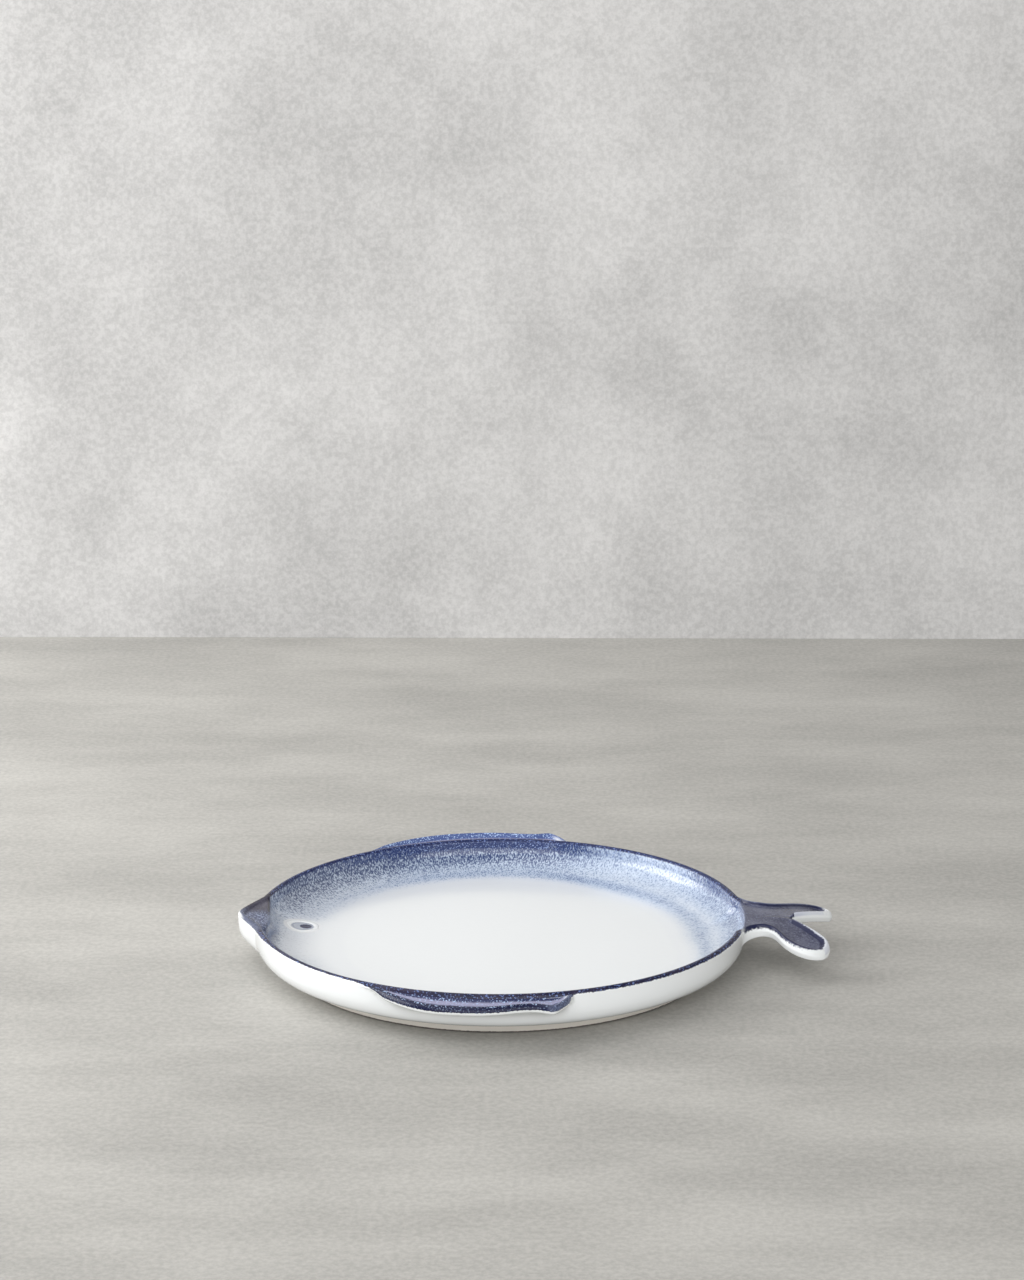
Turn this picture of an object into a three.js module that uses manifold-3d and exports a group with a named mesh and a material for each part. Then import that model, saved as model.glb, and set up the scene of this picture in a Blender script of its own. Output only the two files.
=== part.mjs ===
// Fish-shaped cake plate of glazed stoneware, in millimetres, +Z up.
// The mouth points to -X and the tail to +X. The plate stands on z = 0, and its box is centred on X and Y.
// Clay pieces are formed apart and luted on with slip; the glaze coats lie over them.
import * as THREE from "three";
import { mergeVertices } from "three/addons/utils/BufferGeometryUtils.js";
import Module from "manifold-3d";

// Dish: a flat well, a bowl-shaped inner wall, a rounded rim and a full outer wall
const RIM_RADIUS = 98.5;
const RIM_HEIGHT = 20;
const RIM_WALL = 3;
const WELL_RADIUS = 75;
const WELL_HEIGHT = 8.2;
const BASE_HEIGHT = 4.7;
const OUTER_FULLNESS = 0.56;
const BOWL_FULLNESS = 0.95;

// Foot ring
const FOOT_RADIUS = 84.9;
const FOOT_WIDTH = 6;
const FOOT_TUCK = 2.1;
const FOOT_EDGE = 0.8;

// Glaze coats, and the clearances that keep the pieces apart
const GLAZE = 0.5;
const GLAZE_SEAT = 0.1;
const POOL = 0.7;
const SLIP = 0.3;

// Snout: a bow that runs down the wall, with a sunk panel on top
const SNOUT_REACH = 8.2;
const SNOUT_ANGLE = 11.6;
const SNOUT_POINT_ANGLE = 1.6;
const SNOUT_DEPTH = 18.5;
const SNOUT_BELLY = 3.5;
const SNOUT_CURL = 0.46;
const SNOUT_BORDER = 2.4;

// Seats cut in the rim for the snout and the tail, and the panels sunk in them
const NOTCH_DEPTH = 2.4;
const PANEL_DEPTH = 1.3;

// Fins: the same on both sides, measured in degrees from the tail
const FIN_START_ANGLE = 122;
const FIN_FULL_ANGLE = 99;
const FIN_LOBE_ANGLE = 80;
const FIN_END_ANGLE = 72.5;
const FIN_WIDTH = 12.5;
const FIN_TIP = 1.2;
const FIN_DIP = 1;
const FIN_DIP_ANGLE = 84.5;
const FIN_DIP_SPREAD_ANGLE = 3.5;
const FIN_FLUTE = 1.5;
const FIN_DROOP = 0.6;
const FIN_BEAD = 1.1;
const BEAD_FROM_ANGLE = 100;
const BEAD_TO_ANGLE = -65;
const FIN_ROOT = 7;

// Tail: a forked fin with a rounded end on each lobe, drooping to the tips
const BACK_LOBE_REACH = 36;
const BELLY_LOBE_REACH = 32.6;
const TAIL_ROOT = 36;
const TAIL_WAIST = 28.6;
const TAIL_WAIST_OUT = 6;
const TAIL_SPAN = 61;
const TAIL_STEM = 16.8;
const LOBE_RADIUS = 6.5;
const LOBE_ANGLE = 42;
const LOBE_WRAP_ANGLE = 80;
const TAIL_THICKNESS = 5;
const TAIL_ROUND = 1.8;
const TAIL_BORDER = 2.4;
const TAIL_DROOP = 2.8;
const LOBE_DROOP = 5.5;
const TAIL_FILLET = 7;
const WAIST_EASE = 7;
const LOBE_EASE = 9;
const FORK_EASE = 5;

// Eye: a ring and a pupil raised on the inner wall, towards the back of the fish
const EYE_FROM_RIM = 15;
const EYE_SIDE = 14.5;
const EYE_RADIUS = 6.6;
const EYE_BAND = 2;
const EYE_PROUD = 0.8;
const PUPIL_RADIUS = 2.4;
const PUPIL_SHIFT = 1;

// Facets
const ROUND_STEPS = 60;
const CURVE_STEPS = 8;
const LIP_STEPS = 4;
const EYE_STEPS = 20;
const FIN_STEPS = 22;
const FIN_ACROSS = 5;
const BEAD_STEPS = 3;
const ROOT_STEPS = 3;
const PLAN_STEPS = 8;
const NECK_STEPS = 3;
const FLANK_STEPS = 8;
const FORK_STEPS = 6;
const LOBE_STEPS = 4;
const MIDLINE_INSET = 0.3;
const SHOULDER = 1 / 3;
const MERGE = 1e-4;

const LIP_RADIUS = RIM_WALL / 2;
const LIP_HEIGHT = RIM_HEIGHT - LIP_RADIUS;
const RIM_INSIDE = RIM_RADIUS - RIM_WALL;
const UNDER_RADIUS = FOOT_RADIUS - FOOT_TUCK;
const COAT = GLAZE + GLAZE_SEAT;
const NOTCH_HEIGHT = RIM_HEIGHT - NOTCH_DEPTH;
const PANEL_HEIGHT = RIM_HEIGHT - PANEL_DEPTH;
const FIN_TOP = LIP_HEIGHT - SLIP;
const TAIL_HALF_ANGLE = THREE.MathUtils.radToDeg(Math.asin(TAIL_ROOT / 2 / RIM_RADIUS));
const TAIL_FLOOR = RIM_HEIGHT - TAIL_THICKNESS;
const MOUTH = 180;
const QUARTER_TURN = 90;

const wasm = await Module();
wasm.setup();
const radians = THREE.MathUtils.degToRad;
const point = (x, y) => new THREE.Vector2(x, y);

// A closed geometry as a solid for cutting and joining
function solidOf(geometry) {
  const bare = new THREE.BufferGeometry().setIndex(geometry.index);
  bare.setAttribute("position", geometry.getAttribute("position"));
  const merged = mergeVertices(bare, MERGE);
  const vertProperties = merged.getAttribute("position").array;
  const triVerts = new Uint32Array(merged.index.array);
  return new wasm.Manifold(new wasm.Mesh({ numProp: 3, vertProperties, triVerts }));
}

function geometryOf(solid) {
  const { vertProperties, triVerts } = solid.getMesh();
  const geometry = new THREE.BufferGeometry();
  geometry.setAttribute("position", new THREE.BufferAttribute(vertProperties, 3));
  return geometry.setIndex(new THREE.BufferAttribute(triVerts, 1));
}

function cut(solid, cutters) {
  return cutters.reduce((left, cutter) => left.subtract(cutter), solid);
}

function revolve(profile, steps = ROUND_STEPS) {
  return new THREE.LatheGeometry(profile, steps).rotateX(Math.PI / 2);
}

// Moves each vertex to where `place` puts it
function warp(geometry, place) {
  const position = geometry.getAttribute("position");
  const vertex = new THREE.Vector3();
  for (let i = 0; i < position.count; i++) {
    place(vertex.fromBufferAttribute(position, i));
    position.setXYZ(i, vertex.x, vertex.y, vertex.z);
  }
  return geometry;
}

function extrude(shape, low, high, options = {}) {
  const depth = high - low;
  const settings = { depth, bevelEnabled: false, curveSegments: PLAN_STEPS, ...options };
  return new THREE.ExtrudeGeometry(shape, settings).translate(0, 0, low);
}

// A block that covers part of a ring, from one height to another
function ringSector(inside, outside, middle, halfAngle, low, high) {
  const start = radians(middle - halfAngle);
  const end = radians(middle + halfAngle);
  const shape = new THREE.Shape();
  shape.absarc(0, 0, outside, start, end, false);
  shape.absarc(0, 0, inside, end, start, true);
  return solidOf(extrude(shape, low, high));
}

// Radius of the glazed outside wall at a height, on the rim's rounded lip too
function wallRadius(height) {
  if (height > LIP_HEIGHT) {
    return RIM_RADIUS - LIP_RADIUS + Math.sqrt(LIP_RADIUS ** 2 - (height - LIP_HEIGHT) ** 2);
  }
  const drop = Math.min(1, (LIP_HEIGHT - height) / (LIP_HEIGHT - BASE_HEIGHT));
  const sine = Math.sqrt(1 - drop ** (2 / OUTER_FULLNESS));
  return UNDER_RADIUS + (RIM_RADIUS - UNDER_RADIUS) * sine ** OUTER_FULLNESS;
}

// Where a luted piece starts, a slip joint away from the bare clay
function seatRadius(height) {
  return wallRadius(height) - COAT + SLIP;
}

// Height of the glazed inner surface at a radius
function bowlHeight(radius) {
  if (radius <= WELL_RADIUS) return WELL_HEIGHT;
  const out = Math.min(1, (radius - WELL_RADIUS) / (RIM_INSIDE - WELL_RADIUS));
  const sine = Math.sqrt(1 - out ** (2 / BOWL_FULLNESS));
  return LIP_HEIGHT - (LIP_HEIGHT - WELL_HEIGHT) * sine ** BOWL_FULLNESS;
}

// The glazed section of the dish, from the foot up the outside, over the lip and down to the well
function skinParts() {
  const quarter = (step) => (step / CURVE_STEPS) * (Math.PI / 2);
  const outer = [point(FOOT_RADIUS + SLIP, BASE_HEIGHT)];
  for (let i = 1; i <= CURVE_STEPS; i++) {
    const rise = (LIP_HEIGHT - BASE_HEIGHT) * (1 - Math.cos(quarter(i)) ** OUTER_FULLNESS);
    const radius = wallRadius(BASE_HEIGHT + rise);
    if (radius > outer[0].x + SLIP) outer.push(point(radius, BASE_HEIGHT + rise));
  }
  const lip = [];
  for (let i = 0; i <= LIP_STEPS; i++) {
    const turn = (i / LIP_STEPS) * Math.PI;
    const middle = RIM_RADIUS - LIP_RADIUS;
    lip.push(point(middle + LIP_RADIUS * Math.cos(turn), LIP_HEIGHT + LIP_RADIUS * Math.sin(turn)));
  }
  const bowl = [];
  for (let i = 0; i <= CURVE_STEPS; i++) {
    const out = Math.cos(quarter(i)) ** BOWL_FULLNESS;
    const radius = WELL_RADIUS + (RIM_INSIDE - WELL_RADIUS) * out;
    bowl.push(point(radius, bowlHeight(radius)));
  }
  return { outer, lip, bowl };
}

const SKIN = skinParts();
const SKIN_PATH = [...SKIN.outer, ...SKIN.lip.slice(1), ...SKIN.bowl.slice(1), point(0, WELL_HEIGHT)];

// Points of the section between two places on the path, moved a depth into the clay
function skin(from, to, depth) {
  const moved = SKIN_PATH.map((here, i) => {
    const before = SKIN_PATH[Math.max(0, i - 1)];
    const after = SKIN_PATH[Math.min(SKIN_PATH.length - 1, i + 1)];
    const along = after.clone().sub(before).normalize();
    return point(here.x - along.y * depth, here.y + along.x * depth);
  });
  return moved.slice(from, to + 1);
}

// A coat of glaze between two places on the path, kept a seat's gap from the next coat
function coat(from, to) {
  const shorten = (end, next) => end.lerp(next, GLAZE_SEAT / end.distanceTo(next));
  const trimmed = (line) => {
    if (from > 0) shorten(line[0], line[1]);
    if (to < AXIS) shorten(line.at(-1), line.at(-2));
    return line;
  };
  const face = trimmed(skin(from, to, 0));
  const back = trimmed(skin(from, to, GLAZE)).reverse();
  return solidOf(revolve([...face, ...back, face[0]]));
}

const LIP_START = SKIN.outer.length - 1;
const BOWL_START = LIP_START + SKIN.lip.length - 1;
const WELL_START = BOWL_START + SKIN.bowl.length - 1;
const AXIS = SKIN_PATH.length - 1;

// What the snout and the tail are shaped against: the bare wall, up to the floor of their notches
function seatBlock() {
  const below = BASE_HEIGHT - SLIP;
  const profile = [point(0, below), point(UNDER_RADIUS, below)];
  for (let i = 0; i <= CURVE_STEPS * 2; i++) {
    const height = BASE_HEIGHT + (NOTCH_HEIGHT - BASE_HEIGHT) * (i / (CURVE_STEPS * 2)) ** 2;
    profile.push(point(seatRadius(height), height));
  }
  profile.push(point(0, NOTCH_HEIGHT));
  return solidOf(revolve(profile));
}

// The rim's notches for the snout and the tail, a slip joint wider than their tongues
function rimNotches() {
  const gap = THREE.MathUtils.radToDeg(SLIP / RIM_INSIDE);
  const [inside, outside] = [RIM_INSIDE - RIM_WALL, RIM_RADIUS + RIM_WALL];
  const [low, high] = [NOTCH_HEIGHT - SLIP, RIM_HEIGHT + SLIP];
  const notch = (middle, half) => ringSector(inside, outside, middle, half + gap, low, high);
  return [notch(MOUTH, SNOUT_ANGLE), notch(0, TAIL_HALF_ANGLE)];
}

function clayDish() {
  const clay = skin(0, AXIS, COAT);
  const profile = [point(0, clay[0].y), ...clay];
  return cut(solidOf(revolve(profile)), rimNotches());
}

// Foot ring: flat where it stands, with eased edges, luted under the base
function footRing() {
  const top = BASE_HEIGHT + COAT - SLIP;
  const inside = FOOT_RADIUS - FOOT_WIDTH;
  const profile = [
    point(inside + FOOT_EDGE, 0),
    point(FOOT_RADIUS - FOOT_EDGE, 0),
    point(FOOT_RADIUS, FOOT_EDGE),
    point(FOOT_RADIUS, top),
    point(inside, top),
    point(inside, FOOT_EDGE),
  ];
  return solidOf(revolve([...profile, profile[0]]));
}

// The outside coat stops where the snout, the tail and the fins are luted on
function outerGlaze() {
  const gap = THREE.MathUtils.radToDeg(SLIP / RIM_RADIUS);
  const inside = UNDER_RADIUS;
  const outside = RIM_RADIUS + RIM_WALL;
  const above = RIM_HEIGHT + SLIP;
  const window = (middle, half, low) => ringSector(inside, outside, middle, half + gap, low - SLIP, above);
  const overFin = (angle) => {
    const low = finFoot(finWidth(angle)) - SLIP;
    return [point(inside, above), point(outside, above), point(outside, low), point(inside, low)];
  };
  const finWindow = (side) => alongRim(overFin, FIN_START_ANGLE + gap, FIN_END_ANGLE - gap, side);
  return cut(coat(0, LIP_START), [
    window(MOUTH, SNOUT_ANGLE, 0),
    window(0, TAIL_HALF_ANGLE, TAIL_FLOOR - TAIL_FILLET),
    finWindow(1),
    finWindow(-1),
  ]);
}

// The dark line on the rim, in two runs from the snout to the tail: the back's first
function rimLines() {
  const runs = cut(coat(LIP_START, BOWL_START), rimNotches()).decompose();
  return runs.sort((a, b) => b.boundingBox().max[1] - a.boundingBox().max[1]);
}

// Plan of the snout: straight sides from the rim to a blunt point
function snoutRadius(angle) {
  const corner = radians(SNOUT_ANGLE);
  const across = RIM_RADIUS * Math.sin(corner);
  const tip = RIM_RADIUS + SNOUT_REACH;
  const along = tip - RIM_RADIUS * Math.cos(corner);
  const blunt = Math.hypot(angle, radians(SNOUT_POINT_ANGLE));
  return (across * tip) / (across * Math.cos(blunt) + along * Math.sin(blunt));
}

function snoutPlan(inside, border) {
  const shape = new THREE.Shape();
  const half = radians(SNOUT_ANGLE) - border / RIM_RADIUS;
  for (let i = -PLAN_STEPS; i <= PLAN_STEPS; i++) {
    const angle = (i / PLAN_STEPS) * half;
    const radius = Math.max(snoutRadius(angle) - border, RIM_INSIDE + SLIP * 2);
    const place = [-radius * Math.cos(angle), -radius * Math.sin(angle)];
    if (i === -PLAN_STEPS) shape.moveTo(...place);
    else shape.lineTo(...place);
  }
  shape.absarc(0, 0, inside, Math.PI + half, Math.PI - half, true);
  return shape;
}

// The bow keeps its reach most of the way down, then curls in under the jaw
function bow(vertex) {
  const radius = Math.hypot(vertex.x, vertex.y);
  if (radius < RIM_RADIUS - LIP_RADIUS) return;
  const down = (RIM_HEIGHT - vertex.z) / SNOUT_DEPTH;
  const reach = (radius - RIM_RADIUS) * (1 - down ** SNOUT_BELLY) ** SNOUT_CURL;
  const moved = (wallRadius(Math.min(vertex.z, LIP_HEIGHT)) + reach) / radius;
  vertex.set(vertex.x * moved, vertex.y * moved, vertex.z);
}

function snoutPanel(inside, border, low, high) {
  return solidOf(extrude(snoutPlan(inside, border), low, high));
}

function snout() {
  const plan = snoutPlan(RIM_INSIDE, 0);
  const steps = CURVE_STEPS;
  const body = warp(extrude(plan, BASE_HEIGHT + SLIP, RIM_HEIGHT, { steps }), bow);
  const pocket = snoutPanel(RIM_INSIDE - RIM_WALL, SNOUT_BORDER, PANEL_HEIGHT, RIM_HEIGHT + SLIP);
  return cut(solidOf(body), [seatBlock(), pocket]);
}

function snoutGlaze() {
  const low = PANEL_HEIGHT + GLAZE_SEAT;
  return snoutPanel(RIM_INSIDE, SNOUT_BORDER + SLIP, low, low + POOL);
}

// Joins closed sections into one skin, with a fan over each end
function loft(sections) {
  const count = sections[0].length;
  const middles = [sections[0], sections.at(-1)].map((section) =>
    section.reduce((sum, p) => sum.add(p), new THREE.Vector3()).divideScalar(count),
  );
  const first = sections.length * count;
  const index = [];
  for (let i = 0; i < count; i++) {
    const next = (i + 1) % count;
    for (let row = 0; row < sections.length - 1; row++) {
      const [a, b] = [row * count + i, row * count + next];
      index.push(a, a + count, b, b, a + count, b + count);
    }
    index.push(first, i, next, first + 1, first - count + next, first - count + i);
  }
  const geometry = new THREE.BufferGeometry().setFromPoints([...sections.flat(), ...middles]);
  return solidOf(geometry.setIndex(index));
}

// Width of a fin at an angle: a long taper, a shallow dip and a round lobe at the rear
function finWidth(angle) {
  const taper = THREE.MathUtils.smoothstep(FIN_START_ANGLE - angle, 0, FIN_START_ANGLE - FIN_FULL_ANGLE);
  const rear = Math.max(0, (FIN_LOBE_ANGLE - angle) / (FIN_LOBE_ANGLE - FIN_END_ANGLE));
  const lobe = Math.sqrt(Math.max(0, 1 - rear ** 2));
  const dip = FIN_DIP * Math.exp(-(((angle - FIN_DIP_ANGLE) / FIN_DIP_SPREAD_ANGLE) ** 2));
  return Math.max(FIN_TIP, FIN_WIDTH * Math.min(taper, lobe) - dip);
}

// Where the underside of a fin of some width meets the wall
function finFoot(width) {
  return FIN_TOP - (FIN_ROOT * width) / FIN_WIDTH;
}

// The hollowed top of a fin, from the wall (0) to the bead at its edge (1)
function finTop(share, out) {
  return FIN_TOP - share * (FIN_FLUTE * Math.sin(Math.PI * out) + FIN_DROOP * out ** 2);
}

function finSection(angle) {
  const width = finWidth(angle);
  const share = width / FIN_WIDTH;
  const bead = FIN_BEAD * share;
  const root = seatRadius(FIN_TOP);
  const edge = root + width - bead;
  const section = [];
  for (let i = 0; i < FIN_ACROSS; i++) {
    const out = i / FIN_ACROSS;
    section.push(point(root + (edge - root) * out, finTop(share, out)));
  }
  for (let i = 0; i <= BEAD_STEPS; i++) {
    const turn = radians(THREE.MathUtils.lerp(BEAD_FROM_ANGLE, BEAD_TO_ANGLE, i / BEAD_STEPS));
    section.push(point(edge + bead * Math.cos(turn), finTop(share, 1) + bead * Math.sin(turn)));
  }
  const low = finFoot(width);
  section.push(point(root + width / 2, finTop(share, 1) - bead * 2));
  for (let i = 0; i < ROOT_STEPS; i++) {
    const height = THREE.MathUtils.lerp(low, FIN_TOP, i / ROOT_STEPS);
    section.push(point(seatRadius(height), height));
  }
  return section;
}

// Glaze pooled in the hollow of a fin
function finPool(angle) {
  const width = finWidth(angle);
  const share = width / FIN_WIDTH;
  const root = seatRadius(FIN_TOP);
  const at = (out, lift) => point(root + (width - FIN_BEAD * share) * out, finTop(share, out) + lift);
  const floor = [];
  const top = [];
  for (let i = 1; i < FIN_ACROSS; i++) {
    floor.push(at(i / FIN_ACROSS, GLAZE_SEAT));
    top.push(at(i / FIN_ACROSS, GLAZE_SEAT + POOL * share));
  }
  return [...top, ...floor.reverse()];
}

// Sweeps a section round the rim from one angle to another, on the back (+1) or the belly (-1)
function alongRim(sectionAt, from, to, side) {
  const sections = [];
  for (let i = 0; i <= FIN_STEPS; i++) {
    const angle = from + ((to - from) * i) / FIN_STEPS;
    const [cos, sin] = [Math.cos(radians(angle)), side * Math.sin(radians(angle))];
    sections.push(sectionAt(angle).map((p) => new THREE.Vector3(p.x * cos, p.x * sin, p.y)));
  }
  return loft(side > 0 ? sections : sections.reverse());
}

function fin(side) {
  return alongRim(finSection, FIN_START_ANGLE, FIN_END_ANGLE, side);
}

function finGlaze(side) {
  const lead = (FIN_START_ANGLE + FIN_FULL_ANGLE) / 2;
  const rear = (FIN_LOBE_ANGLE + FIN_END_ANGLE) / 2;
  return alongRim(finPool, lead, rear, side);
}

// Pairs of points across half of the tail, from the rim to the round end of a lobe of some reach.
// `open` says how far the inner point has left the middle line for the edge of the fork.
function tailStations(reach) {
  const tip = RIM_RADIUS + reach;
  const corner = radians(TAIL_HALF_ANGLE);
  const onRim = (radius) => point(radius * Math.cos(corner), radius * Math.sin(corner));
  const waist = point(RIM_RADIUS + TAIL_WAIST_OUT, TAIL_WAIST / 2);
  const middle = point(tip - LOBE_RADIUS, TAIL_SPAN / 2 - LOBE_RADIUS);
  const round = (turn) => point(Math.cos(radians(turn)), Math.sin(radians(turn)));
  const onLobe = (turn) => round(turn).multiplyScalar(LOBE_RADIUS).add(middle);
  const [start, end] = [LOBE_ANGLE + LOBE_WRAP_ANGLE, LOBE_ANGLE - LOBE_WRAP_ANGLE];
  const crotch = point(RIM_RADIUS + TAIL_STEM, 0);
  const root = new THREE.LineCurve(onRim(RIM_INSIDE), onRim(RIM_RADIUS));
  const neck = new THREE.QuadraticBezierCurve(root.v2, point(root.v2.x + TAIL_WAIST_OUT / 2, waist.y), waist);
  const flank = new THREE.CubicBezierCurve(
    waist,
    point(waist.x + WAIST_EASE, waist.y),
    onLobe(start).add(round(start + QUARTER_TURN).multiplyScalar(LOBE_EASE)),
    onLobe(start),
  );
  const midline = new THREE.LineCurve(point(RIM_INSIDE, -SLIP), point(crotch.x, -SLIP));
  const fork = new THREE.CubicBezierCurve(
    crotch,
    point(crotch.x + FORK_EASE / 2, FORK_EASE),
    onLobe(end).add(round(end - QUARTER_TURN).multiplyScalar(LOBE_EASE)),
    onLobe(end),
  );
  const run = (curve, steps) => curve.getPoints(steps).slice(0, -1);
  const outer = [...run(root, 1), ...run(neck, NECK_STEPS), ...run(flank, FLANK_STEPS)];
  const inner = [...run(midline, outer.length - FORK_STEPS), ...run(fork, FORK_STEPS)];
  const stations = outer.map((from, i) => {
    const open = THREE.MathUtils.clamp(i - (outer.length - FORK_STEPS), 0, 1);
    return { from, to: inner[i], open };
  });
  for (let i = 0; i < LOBE_STEPS; i++) {
    const half = LOBE_WRAP_ANGLE * (1 - i / LOBE_STEPS);
    stations.push({ from: onLobe(LOBE_ANGLE + half), to: onLobe(LOBE_ANGLE - half), open: 1 });
  }
  return stations;
}

function droop(x, y) {
  const start = RIM_RADIUS + TAIL_WAIST_OUT;
  const along = Math.max(0, (x - start) / (RIM_RADIUS + BACK_LOBE_REACH - start));
  return along * (TAIL_DROOP + (LOBE_DROOP * Math.abs(y)) / (TAIL_SPAN / 2));
}

// A section across half of the tail as points of (distance from the flank, depth below the crest)
function tailSection({ from, to, open }) {
  const width = from.distanceTo(to);
  const border = Math.min(TAIL_BORDER, width * SHOULDER);
  const depth = PANEL_DEPTH * THREE.MathUtils.clamp((width - TAIL_BORDER * 2) / TAIL_BORDER, 0, 1);
  const crest = border / 2;
  const inset = border * Math.max(open, MIDLINE_INSET);
  const bare = depth * (1 - open);
  const round = Math.min(TAIL_ROUND, width * SHOULDER);
  const inner = Math.max(open * TAIL_ROUND, GLAZE_SEAT);
  return [
    point(0, TAIL_ROUND),
    point(crest * SHOULDER, TAIL_ROUND * SHOULDER),
    point(crest, 0),
    point(border, depth),
    point(width - inset, depth),
    point(width - inset / 2, bare),
    point(width - (inset / 2) * SHOULDER, bare + open * TAIL_ROUND * SHOULDER),
    point(width, bare + inner),
    point(width, TAIL_THICKNESS - inner),
    point(width - round * Math.max(open, MIDLINE_INSET), TAIL_THICKNESS),
    point(round, TAIL_THICKNESS),
    point(0, TAIL_THICKNESS - TAIL_ROUND),
  ];
}

// The glaze that lies in the panel, a slip joint from its borders
function tailPool(station) {
  const [, , , flank, inner] = tailSection(station);
  const gap = SLIP * station.open;
  const low = flank.y - SLIP;
  const end = station.open ? inner.x - gap : station.from.distanceTo(station.to);
  return [
    point(flank.x + SLIP, low - POOL),
    point(end, low - POOL),
    point(end, low),
    point(flank.x + SLIP, low),
  ];
}

// Lofts a section along each half of the tail, less some stations at the tips, and joins the halves
function bothHalves(sectionAt, less = 0) {
  const half = (reach, side) => {
    const stations = tailStations(reach);
    const sections = stations.slice(0, stations.length - less).map((station) =>
      sectionAt(station).map((p) => {
        const along = p.x / station.from.distanceTo(station.to);
        const place = station.from.clone().lerp(station.to, along);
        const height = RIM_HEIGHT - p.y - droop(place.x, place.y);
        return new THREE.Vector3(place.x, side * place.y, height);
      }),
    );
    return loft(side < 0 ? sections : sections.reverse());
  };
  return half(BACK_LOBE_REACH, 1).add(half(BELLY_LOBE_REACH, -1));
}

// The hollow fillet between the tail and the wall under it
function tailFillet() {
  const low = TAIL_FLOOR - TAIL_FILLET;
  const profile = [];
  for (let i = 0; i <= CURVE_STEPS; i++) {
    const height = TAIL_FLOOR + TAIL_ROUND - ((TAIL_FILLET + TAIL_ROUND) * i) / CURVE_STEPS;
    profile.push(point(seatRadius(height), height));
  }
  for (let i = 0; i <= CURVE_STEPS; i++) {
    const turn = (i / CURVE_STEPS) * (Math.PI / 2);
    const height = low + TAIL_FILLET * Math.sin(turn);
    profile.push(point(seatRadius(height) + SLIP + TAIL_FILLET * (1 - Math.cos(turn)), height));
  }
  profile.push(point(profile.at(-1).x, TAIL_FLOOR + TAIL_ROUND));
  const ring = solidOf(revolve([...profile, profile[0]]));
  const half = TAIL_HALF_ANGLE - THREE.MathUtils.radToDeg(TAIL_FILLET / RIM_RADIUS);
  return ring.intersect(ringSector(UNDER_RADIUS, RIM_RADIUS + TAIL_FILLET * 2, 0, half, low, RIM_HEIGHT));
}

function tail() {
  return bothHalves(tailSection).subtract(seatBlock()).add(tailFillet());
}

function tailGlaze() {
  return bothHalves(tailPool, LOBE_STEPS / 2);
}

// Sets a shape made on the table down on the inner wall, a slip joint above its glaze
function onBowl(geometry, x, y) {
  return warp(geometry, (vertex) => {
    vertex.x += x;
    vertex.y += y;
    vertex.z += bowlHeight(Math.hypot(vertex.x, vertex.y)) + SLIP;
  });
}

const EYE_X = EYE_FROM_RIM - RIM_INSIDE;

function eyeRing() {
  const middle = EYE_RADIUS - EYE_BAND / 2;
  const profile = [];
  for (let i = 0; i <= LIP_STEPS; i++) {
    const turn = (i / LIP_STEPS) * Math.PI;
    profile.push(point(middle + (EYE_BAND / 2) * Math.cos(turn), EYE_PROUD * Math.sin(turn)));
  }
  return solidOf(onBowl(revolve([...profile, profile[0]], EYE_STEPS), EYE_X, EYE_SIDE));
}

function eyePupil() {
  const profile = [point(0, 0)];
  for (let i = 0; i <= LIP_STEPS; i++) {
    const turn = (i / LIP_STEPS) * (Math.PI / 2);
    profile.push(point(PUPIL_RADIUS * Math.cos(turn), EYE_PROUD * Math.sin(turn)));
  }
  return solidOf(onBowl(revolve(profile, EYE_STEPS), EYE_X + PUPIL_SHIFT, EYE_SIDE));
}

// Finishes
const FINISHES = {
  clay: { color: 0xf1efe8, roughness: 0.55 },
  whiteGlaze: { color: 0xf4f5f4, roughness: 0.12 },
  blueGlaze: { color: 0x7486b0, roughness: 0.15 },
  navyGlaze: { color: 0x262c52, roughness: 0.15 },
  greyGlaze: { color: 0x6b6c7c, roughness: 0.2 },
};

const plate = new THREE.Group();

function piece(name, solid, finish) {
  const material = new THREE.MeshStandardMaterial({ ...FINISHES[finish], metalness: 0 });
  const mesh = new THREE.Mesh(geometryOf(solid), material);
  mesh.name = name;
  plate.add(mesh);
}

piece("clay_dish", clayDish(), "clay");
piece("foot_ring", footRing(), "clay");
piece("snout", snout(), "whiteGlaze");
piece("dorsal_fin", fin(1), "whiteGlaze");
piece("belly_fin", fin(-1), "whiteGlaze");
piece("tail", tail(), "whiteGlaze");
piece("outer_white_glaze", outerGlaze(), "whiteGlaze");
piece("well_white_glaze", coat(WELL_START, AXIS), "whiteGlaze");
piece("wall_blue_glaze", cut(coat(BOWL_START, WELL_START), rimNotches()), "blueGlaze");
const [backLine, bellyLine] = rimLines();
piece("rim_glaze_dorsal", backLine, "navyGlaze");
piece("rim_glaze_belly", bellyLine, "navyGlaze");
piece("snout_glaze", snoutGlaze(), "greyGlaze");
piece("dorsal_fin_glaze", finGlaze(1), "navyGlaze");
piece("belly_fin_glaze", finGlaze(-1), "navyGlaze");
piece("tail_glaze", tailGlaze(), "greyGlaze");
piece("eye_ring", eyeRing(), "whiteGlaze");
piece("eye_pupil", eyePupil(), "navyGlaze");

// The box is centred on the origin; the dish itself lies nearer the mouth
const box = new THREE.Box3().setFromObject(plate);
plate.position.x = -(box.min.x + box.max.x) / 2;

const part = new THREE.Group();
part.add(plate);

export default part;
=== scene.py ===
import math

import bmesh
import bpy
from mathutils import Matrix, Vector


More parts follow.
